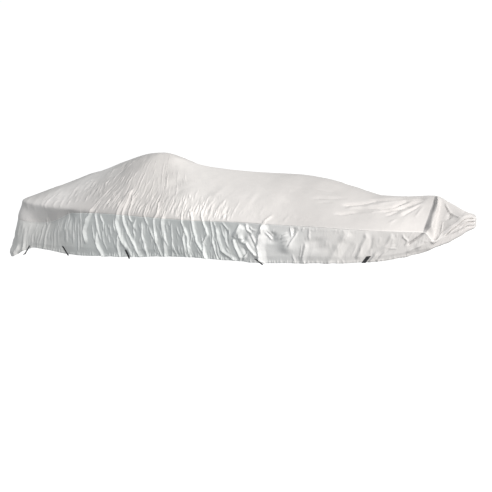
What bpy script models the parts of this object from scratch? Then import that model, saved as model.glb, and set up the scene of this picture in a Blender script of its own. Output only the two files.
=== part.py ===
"""Boat cover: a fitted cloth cover for a small open boat, and its webbing tie-downs.

Metres, +X to the bow, +Y to port, +Z up. The cloth is two top panels and two skirt panels,
sewn together along the gunwale line, the bow, the middle of the stern and a curved seam
that crosses the top at its highest point. Heights in the tables are measured from the
gunwale line; the finished part has its origin under the top, amidships, where the boat
carries the cloth.
"""
import bmesh
import bpy
import numpy as np

# ---------------------------------------------------------------- driving dimensions
CLOTH = 0.002            # thickness of the coated cloth
SEAM_GAP = 0.0003        # parting between two sewn pieces
STITCHED = 0.007         # flat strip on each side of the gunwale seam
CREST = 0.338            # height of the top's underside above the gunwale line, amidships
SPLIT = 2.725            # where the curved cross seam meets the edge, along the edge
DRAWN_IN = 0.012         # how far the elastic pulls the hem inwards
HEM_SHARE = 0.20         # the share of the skirt's depth over which it pulls

WEBBING = 0.0016         # thickness of the tie-down webbing
HELD = 0.040             # how far beside a tie-down its stitching keeps the cloth flat

# The half outline, a row per station round the edge of the deck, from the middle of the
# stern to the tip of the bow. Lengths along it are called "along" below.
#   x, half     the station in plan, half being the distance from the centreline
#   edge        height of the edge, where the top turns down into the skirt
#   seam        how far below the edge the top panel is sewn to the skirt
#   hem         height of the hem
#   tuck, lean  how far outside the edge the cloth hangs at the seam and at the hem
#   soft        size of the rounding over the edge
#   crown       1 is a straight slope from edge to spine, more is a fuller crown
#   spine       the x where the thread from this station meets the spine
OUTLINE_COLUMNS = ("x", "half", "edge", "seam", "hem", "tuck", "lean", "soft", "crown", "spine")
OUTLINE = (
    (-2.370, 0.000, 0.055, 0.190, -0.510, 0.020, 0.070, 0.040, 1.00, -1.780),
    (-2.370, 0.450, 0.036, 0.190, -0.510, 0.025, 0.080, 0.040, 1.03, -1.780),
    (-2.368, 0.780, 0.012, 0.190, -0.540, 0.045, 0.120, 0.025, 1.12, -1.760),
    (-2.325, 0.880, 0.002, 0.195, -0.590, 0.055, 0.140, 0.020, 1.25, -1.740),
    (-2.150, 0.930, -0.008, 0.205, -0.475, 0.000, 0.075, 0.040, 1.42, -1.690),
    (-1.930, 0.950, -0.012, 0.178, -0.485, -0.022, 0.040, 0.055, 1.50, -1.600),
    (-1.600, 0.968, -0.018, 0.050, -0.510, -0.008, 0.015, 0.035, 1.55, -1.450),
    (-0.900, 0.992, -0.024, 0.010, -0.470, 0.000, 0.000, 0.014, 1.75, -1.180),
    (-0.200, 1.000, -0.020, 0.010, -0.410, 0.000, -0.010, 0.012, 1.75, -0.820),
    (0.500, 0.975, -0.002, 0.010, -0.402, 0.000, -0.015, 0.012, 1.75, 0.120),
    (1.100, 0.880, -0.006, 0.010, -0.374, 0.000, -0.015, 0.012, 1.65, 0.900),
    (1.600, 0.720, -0.026, 0.010, -0.346, 0.000, -0.015, 0.012, 1.45, 1.480),
    (1.950, 0.535, -0.042, 0.010, -0.292, 0.000, -0.015, 0.012, 1.25, 1.880),
    (2.080, 0.435, -0.052, 0.010, -0.254, 0.000, -0.010, 0.012, 1.12, 2.020),
    (2.160, 0.370, -0.140, 0.010, -0.218, 0.000, 0.000, 0.012, 1.08, 2.080),
    (2.300, 0.245, -0.025, 0.010, -0.152, 0.000, 0.000, 0.012, 1.10, 2.200),
    (2.405, 0.115, 0.060, 0.010, -0.078, 0.000, 0.000, 0.015, 1.20, 2.300),
    (2.450, 0.000, 0.055, 0.010, -0.050, 0.000, 0.000, 0.020, 1.30, 2.340),
)

# The spine: the height of the top along the centreline.
SPINE_COLUMNS = ("x", "height")
SPINE = (
    (-1.780, 0.298), (-1.600, 0.372), (-1.420, 0.438), (-1.250, 0.486), (-1.110, 0.501),
    (-0.960, 0.467), (-0.800, 0.411), (-0.620, 0.382), (-0.450, 0.368), (-0.200, 0.356),
    (0.100, 0.350), (0.500, 0.357), (0.800, 0.332), (1.150, 0.256), (1.450, 0.204),
    (1.700, 0.208), (2.040, 0.237), (2.200, 0.172), (2.340, 0.106),
)

# The main folds of each skirt, a row per fold, in order from the stern to the bow.
#   edge, middle, hem  places along the edge where the crease crosses the edge, half way
#                      down and at the hem
#   start, end         the part of the skirt's depth that it covers, 0 at the seam
#   half, height       half its width, and how far it stands out (in, where negative)
#   sewn               the share of that height left where the seam pins it
#   up, above          how far it runs up the top, and how far it stands out there
FOLD_COLUMNS = ("edge", "middle", "hem", "start", "end", "half", "height", "sewn", "up", "above")
STARBOARD_FOLDS = (
    (0.18, 0.18, 0.17, 0.00, 1.00, 0.055, 0.009, 0.20, 0.10, 0.003),
    (0.40, 0.41, 0.43, 0.10, 1.00, 0.050, 0.011, 0.00, 0.00, 0.000),
    (0.60, 0.60, 0.59, 0.00, 0.90, 0.045, 0.009, 0.20, 0.12, 0.003),
    (0.83, 0.83, 0.82, 0.30, 1.00, 0.040, 0.015, 0.00, 0.00, 0.000),
    (0.94, 0.94, 0.93, 0.35, 1.00, 0.035, 0.018, 0.00, 0.00, 0.000),
    (1.04, 1.05, 1.08, 0.25, 1.00, 0.035, 0.014, 0.00, 0.00, 0.000),
    (1.15, 1.16, 1.19, 0.10, 1.00, 0.035, 0.008, 0.00, 0.20, 0.003),
    (1.27, 1.28, 1.31, 0.05, 1.00, 0.035, 0.007, 0.00, 0.22, 0.004),
    (1.39, 1.39, 1.40, 0.05, 0.90, 0.035, 0.006, 0.00, 0.24, 0.004),
    (1.61, 1.61, 1.62, 0.05, 1.00, 0.035, 0.008, 0.00, 0.24, 0.005),
    (1.71, 1.70, 1.71, 0.00, 0.60, 0.030, 0.006, 0.20, 0.20, 0.005),
    (1.850, 1.775, 1.800, 0.00, 0.78, 0.034, 0.026, 0.20, 0.07, 0.008),
    (1.920, 1.930, 1.990, 0.00, 1.00, 0.026, 0.022, 0.20, 0.10, 0.006),
    (1.985, 2.015, 2.060, 0.00, 0.45, 0.024, 0.016, 0.20, 0.16, 0.006),
    (2.110, 2.160, 2.230, 0.50, 1.00, 0.026, 0.018, 0.00, 0.22, 0.007),
    (2.190, 2.225, 2.340, 0.00, 1.00, 0.028, 0.025, 0.20, 0.26, 0.010),
    (2.265, 2.345, 2.455, 0.00, 1.00, 0.028, 0.025, 0.20, 0.27, 0.009),
    (2.345, 2.405, 2.520, 0.00, 0.32, 0.024, 0.018, 0.20, 0.25, 0.008),
    (2.490, 2.500, 2.560, 0.10, 1.00, 0.028, 0.020, 0.00, 0.18, 0.006),
    (2.645, 2.655, 2.705, 0.00, 0.90, 0.028, 0.022, 0.20, 0.20, 0.007),
    (2.745, 2.760, 2.765, 0.00, 1.00, 0.032, 0.024, 0.20, 0.16, 0.005),
    (2.860, 2.855, 2.850, 0.15, 0.95, 0.024, 0.014, 0.00, 0.22, 0.007),
    (2.970, 2.990, 3.005, 0.00, 1.00, 0.022, 0.018, 0.20, 0.18, 0.006),
    (3.010, 3.040, 3.060, 0.15, 1.00, 0.022, 0.020, 0.00, 0.20, 0.007),
    (3.090, 3.135, 3.235, 0.00, 1.00, 0.030, 0.025, 0.20, 0.16, 0.007),
    (3.220, 3.240, 3.270, 0.00, 1.00, 0.028, 0.018, 0.20, 0.22, 0.006),
    (3.315, 3.330, 3.360, 0.15, 0.95, 0.026, 0.018, 0.00, 0.16, 0.005),
    (3.355, 3.395, 3.520, 0.10, 1.00, 0.030, 0.022, 0.00, 0.10, 0.004),
    (3.440, 3.520, 3.590, 0.00, 0.30, 0.024, 0.015, 0.20, 0.12, 0.004),
    (3.560, 3.560, 3.630, 0.10, 0.95, 0.034, 0.022, 0.00, 0.00, 0.000),
    (3.610, 3.670, 3.860, 0.30, 1.00, 0.032, 0.028, 0.00, 0.00, 0.000),
    (3.700, 3.770, 3.920, 0.00, 0.60, 0.030, 0.016, 0.20, 0.00, 0.000),
    (3.870, 3.840, 3.965, 0.05, 1.00, 0.045, 0.030, 0.00, 0.10, 0.006),
    (4.040, 4.030, 4.060, 0.10, 0.80, 0.050, -0.018, 0.00, 0.00, 0.000),
    (4.160, 4.140, 4.170, 0.00, 0.70, 0.034, 0.016, 0.20, 0.12, 0.004),
    (4.320, 4.290, 4.240, 0.10, 1.00, 0.050, 0.010, 0.00, 0.00, 0.000),
    (4.710, 4.590, 4.510, 0.05, 1.00, 0.050, 0.020, 0.00, 0.00, 0.000),
    (4.865, 4.850, 4.780, 0.00, 1.00, 0.045, 0.018, 0.20, 0.00, 0.000),
    (5.110, 5.050, 4.910, 0.10, 1.00, 0.042, 0.022, 0.00, 0.00, 0.000),
    (5.200, 5.150, 5.000, 0.15, 1.00, 0.030, 0.020, 0.00, 0.10, 0.004),
    (5.435, 5.310, 5.170, 0.00, 0.95, 0.036, -0.030, 0.80, 0.80, -0.034),
    (5.520, 5.460, 5.360, 0.00, 0.95, 0.040, 0.022, 0.80, 0.80, 0.032),
    (5.660, 5.660, 5.650, 0.00, 1.00, 0.036, -0.012, 0.20, 0.20, -0.018),
    (5.780, 5.795, 5.800, 0.00, 1.00, 0.030, 0.010, 0.20, 0.15, 0.008),
)
PORT_FOLDS = (
    (0.22, 0.22, 0.21, 0.00, 1.00, 0.055, 0.010, 0.20, 0.10, 0.003),
    (0.46, 0.46, 0.48, 0.10, 1.00, 0.050, 0.010, 0.00, 0.00, 0.000),
    (0.80, 0.80, 0.79, 0.20, 1.00, 0.040, 0.014, 0.00, 0.00, 0.000),
    (0.92, 0.93, 0.94, 0.35, 1.00, 0.036, 0.017, 0.00, 0.00, 0.000),
    (1.06, 1.07, 1.10, 0.20, 1.00, 0.036, 0.012, 0.00, 0.15, 0.003),
    (1.34, 1.35, 1.37, 0.05, 1.00, 0.040, 0.008, 0.00, 0.20, 0.004),
    (1.56, 1.56, 1.55, 0.00, 1.00, 0.040, 0.010, 0.20, 0.24, 0.005),
    (1.76, 1.79, 1.83, 0.00, 0.95, 0.036, 0.024, 0.20, 0.14, 0.007),
    (1.92, 1.96, 2.03, 0.00, 0.55, 0.034, 0.019, 0.20, 0.20, 0.006),
    (2.12, 2.16, 2.24, 0.00, 1.00, 0.036, 0.027, 0.20, 0.26, 0.009),
    (2.26, 2.32, 2.42, 0.00, 0.95, 0.034, 0.023, 0.20, 0.22, 0.008),
    (2.46, 2.47, 2.53, 0.00, 1.00, 0.036, 0.019, 0.20, 0.20, 0.006),
    (2.65, 2.66, 2.66, 0.10, 1.00, 0.038, 0.023, 0.00, 0.22, 0.007),
    (2.86, 2.90, 2.96, 0.00, 0.85, 0.034, 0.018, 0.20, 0.16, 0.006),
    (3.04, 3.08, 3.15, 0.00, 1.00, 0.036, 0.024, 0.20, 0.20, 0.006),
    (3.24, 3.26, 3.31, 0.20, 1.00, 0.036, 0.019, 0.00, 0.14, 0.005),
    (3.44, 3.49, 3.56, 0.00, 0.60, 0.036, 0.018, 0.20, 0.12, 0.004),
    (3.66, 3.68, 3.76, 0.15, 1.00, 0.042, 0.024, 0.00, 0.00, 0.000),
    (3.90, 3.88, 3.92, 0.00, 1.00, 0.042, 0.022, 0.20, 0.10, 0.004),
    (4.18, 4.16, 4.14, 0.00, 0.80, 0.040, 0.016, 0.20, 0.10, 0.003),
    (4.48, 4.42, 4.36, 0.10, 1.00, 0.048, 0.014, 0.00, 0.00, 0.000),
    (4.78, 4.71, 4.64, 0.00, 1.00, 0.048, 0.017, 0.20, 0.00, 0.000),
    (5.04, 4.96, 4.88, 0.05, 1.00, 0.042, 0.019, 0.00, 0.00, 0.000),
    (5.25, 5.16, 5.07, 0.10, 1.00, 0.034, 0.017, 0.00, 0.10, 0.004),
    (5.43, 5.31, 5.19, 0.00, 0.90, 0.038, -0.026, 0.80, 0.80, -0.030),
    (5.52, 5.48, 5.43, 0.00, 0.95, 0.042, 0.020, 0.80, 0.80, 0.028),
    (5.72, 5.72, 5.72, 0.00, 1.00, 0.034, -0.010, 0.20, 0.15, -0.012),
)

# Long soft creases that fan out over the foredeck from the top of the bow rail, each a
# straight line in plan: from x, off the centreline, to x, off, then half width and height.
CREASE_COLUMNS = ("x0", "off0", "x1", "off1", "half", "height")
BOW_CREASES = (
    (2.02, 0.02, 1.18, 0.16, 0.030, 0.012),
    (2.02, 0.04, 1.40, 0.26, 0.028, -0.010),
    (2.02, 0.06, 1.48, 0.36, 0.032, 0.011),
    (2.02, 0.09, 1.70, 0.38, 0.026, -0.008),
    (2.00, 0.15, 1.62, 0.55, 0.030, 0.007),
)


# A row per webbing tie-down: where its top and its foot lie along the edge, how far it
# starts above the hem and ends below it, its width, its thickness in layers, and the slack
# between it and the cloth.
TIE_COLUMNS = ("name", "top", "foot", "above", "below", "width", "layers", "lift")
TIES = (
    ("tie_stern", 1.070, 1.025, 0.030, 0.045, 0.016, 1, 0.0015),
    ("tie_quarter", 1.490, 1.560, 0.076, 0.014, 0.020, 1, 0.0008),
    ("tie_aft", 2.295, 2.335, 0.076, 0.018, 0.022, 1, 0.0008),
    ("tie_middle", 3.775, 3.860, 0.040, 0.014, 0.022, 1, 0.0008),
    ("tie_fore", 4.895, 4.845, 0.062, 0.006, 0.040, 2, 0.0008),
)


def columns(rows, names):
    """The rows of a table as one array per named column."""
    return dict(zip(names, np.array(rows).T))


def slopes(knots, values):
    """Slopes of a cubic that never overshoots: the harmonic mean of the two neighbours."""
    step, rise = np.diff(knots), np.diff(values) / np.diff(knots)
    out = np.concatenate(([rise[0]], np.zeros(len(step) - 1), [rise[-1]]))
    near, far = step[1:] * 2 + step[:-1], step[1:] + step[:-1] * 2
    same = rise[:-1] * rise[1:] > 0
    out[1:-1][same] = ((near + far) / (near / np.where(same, rise[:-1], 1)
                                       + far / np.where(same, rise[1:], 1)))[same]
    return out


def smooth(at, knots, values):
    """Values at some places, on a smooth cubic through the knots."""
    at = np.clip(at, knots[0], knots[-1])
    k = np.clip(np.searchsorted(knots, at, side="right") - 1, 0, len(knots) - 2)
    step, slope = np.diff(knots)[k], slopes(knots, values)
    u = (at - knots[k]) / step
    return (values[k] * (1 + 2 * u) * (1 - u) ** 2 + values[k + 1] * u * u * (3 - 2 * u)
            + step * u * (1 - u) * (slope[k] * (1 - u) - slope[k + 1] * u))


STATIONS = columns(OUTLINE, OUTLINE_COLUMNS)
RIDGE = columns(SPINE, SPINE_COLUMNS)
# chord lengths round the outline, with one mirrored station past each end
plan = np.array([[row[0], row[1]] for row in OUTLINE])
plan = np.vstack((plan[1] * (1, -1), plan, plan[-2] * (1, -1)))
KNOTS = np.concatenate(([0], np.cumsum(np.hypot(*np.diff(plan, axis=0).T))))
KNOTS -= KNOTS[1]
PLAN_X, PLAN_HALF = plan[:, 0], plan[:, 1]
KNOTS_INNER = KNOTS[1:-1]
HALF_LENGTH = KNOTS_INNER[-1]


def station(name, along):
    """One column of the outline table, smoothed, at places along the edge."""
    return smooth(along, KNOTS_INNER, STATIONS[name])


def edge_plan(along):
    """The edge in plan, and its outward direction, at places along it."""
    step = 0.004
    x, half = smooth(along, KNOTS, PLAN_X), smooth(along, KNOTS, PLAN_HALF)
    dx = smooth(along + step, KNOTS, PLAN_X) - smooth(along - step, KNOTS, PLAN_X)
    dh = smooth(along + step, KNOTS, PLAN_HALF) - smooth(along - step, KNOTS, PLAN_HALF)
    size = np.hypot(dx, dh)
    return x, half, -dh / size, dx / size


def ramp(value):
    """0 below 0, 1 above 1, and a smooth S between."""
    value = np.clip(value, 0, 1)
    return value * value * (3 - 2 * value)


def crown_point(along, reach):
    """A place on the unfolded top: reach is the plan distance in from the edge.

    In plan the thread runs straight from the edge to its place on the spine. Its height goes
    from the edge to that of the spine beside it, as 1 - (1 - share) ** crown.
    """
    x, half, _, _ = edge_plan(along)
    ahead = station("spine", along) - x
    share = np.clip(reach / np.hypot(ahead, half), 0, 1)
    x = x + ahead * share
    edge = station("edge", along)
    rise = smooth(x, RIDGE["x"], RIDGE["height"]) - edge
    return np.stack((x, half * (1 - share),
                     edge + rise * (1 - (1 - share) ** station("crown", along))), -1)


def skirt_point(along, drop):
    """A place on the unfolded skirt: drop is the distance below the edge.

    The cloth hangs tuck outside the edge at the seam and lean outside it at the hem, and
    the elastic draws the last of it in.
    """
    x, half, out_x, out_half = edge_plan(along)
    edge, seam = station("edge", along), station("seam", along)
    tuck, lean = station("tuck", along), station("lean", along)
    depth, top = edge - station("hem", along), seam + STITCHED
    above = ramp(drop / seam)
    below = np.clip((drop - top) / (depth - top), 0, 1)
    pulled = DRAWN_IN * np.clip((below - 1) / HEM_SHARE + 1, 0, 1)
    out = tuck * above + (lean - tuck) * below - pulled
    return np.stack((x + out_x * out, half + out_half * out, edge - drop), -1)


def turning(along, drop):
    """How far round the edge a place is, 0 on the top and 1 on the skirt, and its lower end."""
    soft = station("soft", along)
    turned = np.minimum(soft, np.maximum(station("seam", along) - STITCHED, 0.003))
    return np.clip((drop + soft) / (soft + turned), 0, 1)[..., None], soft, turned


def rounded(along, drop):
    """The unfolded cloth: drop is below the edge, or minus the distance up the top.

    Over the edge the two faces are blended by a quadratic curve through the edge itself.
    """
    share, soft, turned = turning(along, drop)
    top = crown_point(along, np.maximum(-drop, soft))
    side = skirt_point(along, np.maximum(drop, turned))
    corner = skirt_point(along, np.zeros_like(drop))
    return top * (1 - share) ** 2 + corner * 2 * share * (1 - share) + side * share ** 2


def crest(across):
    """The cross profile of a fold: 1 on the crease, 0 a half width away, with soft flanks."""
    return np.clip(1.1 - np.sqrt(across ** 2 + 0.01), 0, 1) ** 1.5


def crease_path(fold, depth_share):
    """Where a fold's crease runs: a quadratic through its places at edge, middle and hem."""
    u = np.clip(depth_share, 0, 1)
    return (fold["edge"] * (1 - u) * (1 - 2 * u) + fold["middle"] * 4 * u * (1 - u)
            + fold["hem"] * u * (2 * u - 1))


def slack(along, drop):
    """1 where the folds hang free, 0 where a tie-down is sewn on and holds the cloth flat."""
    depth = station("edge", along) - station("hem", along)
    free = np.ones_like(along)
    for row in TIES:
        tie = dict(zip(TIE_COLUMNS, row))
        level = np.clip((drop - depth + tie["above"]) / (tie["above"] + tie["below"]), 0, 1)
        middle = tie["top"] + (tie["foot"] - tie["top"]) * level
        near = 1 - ramp((np.abs(along - middle) - tie["width"] / 2 - HELD) / HELD)
        free = free * (1 - near * ramp((drop - depth + tie["above"] + 0.10) / 0.06))
    return free


def fold_height(folds, along, drop):
    """How far the folds push the cloth outwards.

    A fold fades in from its start, keeps the share of its height called sewn where the
    seam pins it, and above the edge it dies out up the top.
    """
    top = station("seam", along) + STITCHED
    share = (drop - top) / (station("edge", along) - station("hem", along) - top)
    on_top = ramp(-drop / 0.05)
    clear_of_split = ramp((np.abs(along - SPLIT) - 0.012) / 0.04)
    out = np.zeros_like(along)
    for row in folds:
        fold = dict(zip(FOLD_COLUMNS, row))
        profile = crest((along - crease_path(fold, share)) / fold["half"])
        pinned = fold["height"] * fold["sewn"]
        fade = ramp((share - fold["start"]) / 0.16)
        if fold["end"] < 1:
            fade = fade * ramp((fold["end"] - share) / 0.16)
        below = pinned * (1 - fade) * (fold["end"] > share) + fold["height"] * fade
        above = pinned * (1 - on_top)
        if fold["up"] > 0:
            above = above + fold["above"] * on_top * np.clip(1 + drop / fold["up"], 0, 1)
        out += profile * np.where(share > 0, below, above * clear_of_split)
    # the ends, where two panels are sewn together, are pulled flat
    out = out * ramp((along - 0.02) / 0.05) * ramp((HALF_LENGTH - 0.03 - along) / 0.05)
    return out * slack(along, drop)


def bow_crease_height(x, half):
    """The creases of the foredeck, faded at both ends of their lines in plan."""
    out = np.zeros_like(x)
    for row in BOW_CREASES:
        line = dict(zip(CREASE_COLUMNS, row))
        run = np.array((line["x1"] - line["x0"], line["off1"] - line["off0"]))
        length = np.hypot(*run)
        run /= length
        forward = (x - line["x0"]) * run[0] + (half - line["off0"]) * run[1]
        across = ((half - line["off0"]) * run[0] - (x - line["x0"]) * run[1]) / line["half"]
        fade = ramp(forward / 0.12) * ramp((length - forward) / (length * 0.6))
        out += line["height"] * fade * crest(across)
    return out


def cloth(folds, along, drop):
    """The folded cloth on the port side: the unfolded one, with its folds pushed out.

    The top is pushed square to itself and the skirt straight outwards.
    """
    spot = rounded(along, drop)
    by_along = rounded(along + 0.003, drop) - rounded(along - 0.003, drop)
    by_drop = rounded(along, drop + 0.0005) - rounded(along, drop - 0.0005)
    square = np.cross(by_along, by_drop)
    square /= np.linalg.norm(square, axis=-1, keepdims=True) + 1e-12
    _, _, out_x, out_half = edge_plan(along)
    share, _, _ = turning(along, drop)
    way = square * (1 - share) + np.stack((out_x, out_half, 0 * out_x), -1) * share
    way /= np.linalg.norm(way, axis=-1, keepdims=True) + 1e-12
    push = fold_height(folds, along, drop)
    push = push + bow_crease_height(spot[..., 0], spot[..., 1]) * ramp(-drop / 0.05)
    return spot + way * push[..., None]


# ---------------------------------------------------------------- threads and rows
CLOSEST = 0.014          # threads are never closer than this
END_STRIP = 0.010        # flat strip beside a seam that runs down a panel
TOP_SHARES = (0.09, 0.19, 0.30)                            # rows with every thread
UPPER_SHARES = (0.43, 0.57, 0.71, 0.86)              # rows with fewer threads
UPPER_SPACING = 0.10     # least distance between the threads of the upper rows
BOW_STARTS = 5.21        # along the edge, ahead of which every thread runs to the spine
BOW_SPACING = 0.03
SPINE_SPACING = 0.05     # least distance between points on the spine
SKIRT_SHARES = (0.16, 0.38, 0.60, 1 - HEM_SHARE, 1.00)


def add_clear(kept, thread):
    """Keeps one more thread if it crosses none of the others and stays clear of them."""
    gaps = [thread - other for other in kept]
    if all(np.all(gap > CLOSEST) or np.all(gap < -CLOSEST) for gap in gaps):
        kept.append(thread)


def lay_threads(folds, widest, feet):
    """The threads of one side, each with its places at edge, middle and hem.

    There is one along every crease, one along each foot of a fold where there is room,
    and even ones between, no wider apart than widest.
    """
    ends = [(v, v, v) for v in (0.00015, END_STRIP, HALF_LENGTH - END_STRIP, HALF_LENGTH - 0.00015)]
    ends += [(v, v, v) for v in (SPLIT - END_STRIP, SPLIT, SPLIT + END_STRIP)]
    kept = [np.array(end) for end in ends]
    creases = [np.array(row[:3]) for row in folds]
    sides = [np.array(row[:3]) + way * row[5] for row in folds for way in (-1, 1)] if feet else []
    for thread in creases + sides:
        add_clear(kept, thread)
    for row in TIES:
        tie = dict(zip(TIE_COLUMNS, row))
        for way in (-1, 1):
            hem = (tie["top"] + tie["foot"]) / 2 + way * (tie["width"] / 2 + 0.022)
            before = max((thread for thread in kept if thread[2] <= hem), key=lambda t: t[2])
            after = min((thread for thread in kept if thread[2] > hem), key=lambda t: t[2])
            add_clear(kept, before + (after - before) * (hem - before[2]) / (after[2] - before[2]))
    kept.sort(key=lambda thread: thread[0])
    threads = [kept[0]]
    for thread in kept[1:]:
        count = int(np.ceil((thread - threads[-1]).max() / widest))
        start = threads[-1]
        threads += [start + (thread - start) * n / count for n in range(1, count + 1)]
    return np.array(threads)


def thread_place(threads, share):
    """Where the threads cross a row of the skirt, share of its depth down."""
    names = dict(zip(("edge", "middle", "hem"), threads.T))
    return crease_path(names, np.full(len(threads), share))


class Panel:
    """A panel being knitted: rows of points, joined by faces."""

    def __init__(self):
        self.points, self.faces = [], []

    def row(self, keys, points):
        """Adds a row of points. Its keys, rising along the row, say which points match."""
        first = len(self.points)
        self.points += [tuple(point) for point in points]
        return list(keys), list(range(first, first + len(points)))

    def join(self, upper, lower, flip=False):
        """Fills the strip between two rows, with squares where their keys are the same."""
        (keys_a, a), (keys_b, b) = upper, lower
        i = j = 0
        while i < len(a) - 1 or j < len(b) - 1:
            next_a = keys_a[i + 1] if i < len(a) - 1 else np.inf
            next_b = keys_b[j + 1] if j < len(b) - 1 else np.inf
            if abs(next_a - next_b) < 1e-6:
                face = (a[i], a[i + 1], b[j + 1], b[j])
                i, j = i + 1, j + 1
            elif next_a < next_b:
                face = (a[i], a[i + 1], b[j])
                i += 1
            else:
                face = (a[i], b[j + 1], b[j])
                j += 1
            self.faces.append(face[::-1] if flip else face)

    def make(self, name, material):
        """The sheet as an object, with its thickness on the inside."""
        mesh = bpy.data.meshes.new(name)
        mesh.from_pydata(self.points, [], self.faces)
        work = bmesh.new()
        work.from_mesh(mesh)
        bmesh.ops.remove_doubles(work, verts=work.verts, dist=1e-5)
        work.to_mesh(mesh)
        work.free()
        mesh.materials.append(material)
        mesh.shade_smooth()
        sheet = bpy.data.objects.new(name, mesh)
        COVER.objects.link(sheet)
        solid = sheet.modifiers.new("thickness", "SOLIDIFY")
        solid.thickness = CLOTH
        solid.offset = -1
        solid.use_even_offset = True
        return sheet


def placed(points, side):
    """Table coordinates to the part's own: side is 1 to port and -1 to starboard."""
    return points * (1, side, 1) - (0, 0, CREST)


def seam_gap(along):
    """The upright distance between two panels that are SEAM_GAP apart square to their seam."""
    ends = [station("edge", spot) - station("seam", spot) for spot in (along - 0.003, along + 0.003)]
    return SEAM_GAP * np.hypot(1, (ends[1] - ends[0]) / 0.006) * 1.1


def make_skirt(name, side, folds, threads, material):
    """One skirt panel, from the middle of the stern to the tip of the bow."""
    panel, rows = Panel(), []
    keys = threads[:, 0]
    for share in (None, 0.0) + SKIRT_SHARES:
        along = thread_place(threads, share or 0.0)
        seam = station("seam", along)
        depth = station("edge", along) - station("hem", along)
        drop = seam + seam_gap(along)
        if share is not None:
            drop = seam + STITCHED + (depth - seam - STITCHED) * share
        rows.append(panel.row(keys, placed(cloth(folds, along, drop), side)))
    for upper, lower in zip(rows, rows[1:]):
        panel.join(upper, lower, flip=side < 0)
    return panel.make(name, material)


def top_rows(panel, side, folds, threads, keep):
    """The rows of one side of a top panel, from the seam up to just short of the spine."""
    along = threads[:, 0]
    seam, soft = station("seam", along), station("soft", along)
    x, half, _, _ = edge_plan(along)
    length = np.hypot(station("spine", along) - x, half)
    turned = seam - STITCHED
    drops = [seam, turned, (turned - soft) / 2, -soft]
    drops += [-soft - (length - soft) * share for share in TOP_SHARES]
    rows = [panel.row(along, placed(cloth(folds, along, drop), side)) for drop in drops]
    few = along[keep]
    for share in UPPER_SHARES:
        drop = -soft[keep] - (length - soft)[keep] * share
        rows.append(panel.row(few, placed(cloth(folds, few, drop), side)))
    for upper, lower in zip(rows, rows[1:]):
        panel.join(upper, lower, flip=side > 0)
    return rows[-1]


def make_top(name, both_sides, first, last, material):
    """A top panel between two places along the edge, both sides and the spine in one."""
    panel, ridge = Panel(), None
    for side, folds, threads in both_sides:
        along = threads[:, 0]
        threads = threads[(along > first + CLOSEST / 2) & (along < last - CLOSEST / 2)]
        threads = np.vstack(([first] * 3, threads, [last] * 3))
        keep, count = [0, 1], len(threads)
        for n in range(2, count - 2):
            gap = min(threads[n, 0] - threads[keep[-1], 0], threads[-2, 0] - threads[n, 0])
            if gap > (UPPER_SPACING if threads[n, 0] < BOW_STARTS else BOW_SPACING):
                keep.append(n)
        keep += [count - 2, count - 1]
        upper = top_rows(panel, side, folds, threads, keep)
        along = threads[keep, 0]
        spine = station("spine", along)
        upper = (list(spine), upper[1])
        if ridge is None:
            picked, count = [0, 1], len(spine)
            for n in range(2, count - 2):
                if min(spine[n] - spine[picked[-1]], spine[-2] - spine[n]) > SPINE_SPACING:
                    picked.append(n)
            picked += [count - 2, count - 1]
            along = along[picked]
            x, half, _, _ = edge_plan(along)
            drop = -np.hypot(station("spine", along) - x, half)
            points = placed(cloth(folds, along, drop), side)
            points[:, 1] = 0
            ridge = panel.row(spine[picked], points)
        panel.join(upper, ridge, flip=side > 0)
    return panel.make(name, material)


# ---------------------------------------------------------------- tie-downs
def make_tie(name, side, folds, row, material):
    """A flat strip of webbing down the outside of the skirt and on below its hem."""
    tie = dict(zip(TIE_COLUMNS, row))
    steps = np.linspace(0, 1, 6)
    along = tie["top"] + (tie["foot"] - tie["top"]) * steps
    depth = station("edge", along) - station("hem", along)
    drop = depth - tie["above"] + (tie["above"] + tie["below"]) * steps
    panel, rows = Panel(), []
    for across in (-0.5, 0.0, 0.5):
        places = along + across * tie["width"]
        spot = cloth(folds, places, np.minimum(drop, depth - 0.001))
        spot[:, 2] -= np.maximum(drop - depth + 0.001, 0)
        _, _, out_x, out_half = edge_plan(places)
        spot += np.stack((out_x, out_half, 0 * out_x), -1) * tie["lift"]
        rows.append(panel.row(steps, placed(spot, side)))
    for upper, lower in zip(rows, rows[1:]):
        panel.join(upper, lower, flip=side > 0)
    strip = panel.make(name, material)
    strip.modifiers["thickness"].thickness = WEBBING * tie["layers"]
    strip.modifiers["thickness"].offset = 1
    return strip


def finish(name, colour, roughness):
    """A plain material."""
    material = bpy.data.materials.new(name)
    material.use_nodes = True
    shader = material.node_tree.nodes["Principled BSDF"]
    shader.inputs["Base Color"].default_value = (*colour, 1)
    shader.inputs["Roughness"].default_value = roughness
    shader.inputs["Metallic"].default_value = 0.0
    return material


for thing in list(bpy.data.objects):
    bpy.data.objects.remove(thing)
COVER = bpy.data.collections.new("boat_cover")
bpy.context.scene.collection.children.link(COVER)

top_cloth = finish("top_cloth", (0.74, 0.72, 0.70), 0.45)
skirt_cloth = finish("skirt_cloth", (0.66, 0.67, 0.67), 0.42)
webbing = finish("webbing", (0.03, 0.03, 0.032), 0.7)

sides = []
for side, label, folds, widest, feet in ((-1, "starboard", STARBOARD_FOLDS, 0.095, True),
                                         (1, "port", PORT_FOLDS, 0.130, False)):
    threads = lay_threads(folds, widest, feet)
    sides.append((side, folds, threads))
    make_skirt("skirt_" + label, side, folds, threads, skirt_cloth)
    for row in TIES:
        make_tie(row[0] + "_" + label, side, folds, row, webbing)
make_top("top_aft", sides, 0.0, SPLIT - SEAM_GAP / 2, top_cloth)
make_top("top_fore", sides, SPLIT + SEAM_GAP / 2, HALF_LENGTH, top_cloth)
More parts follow.
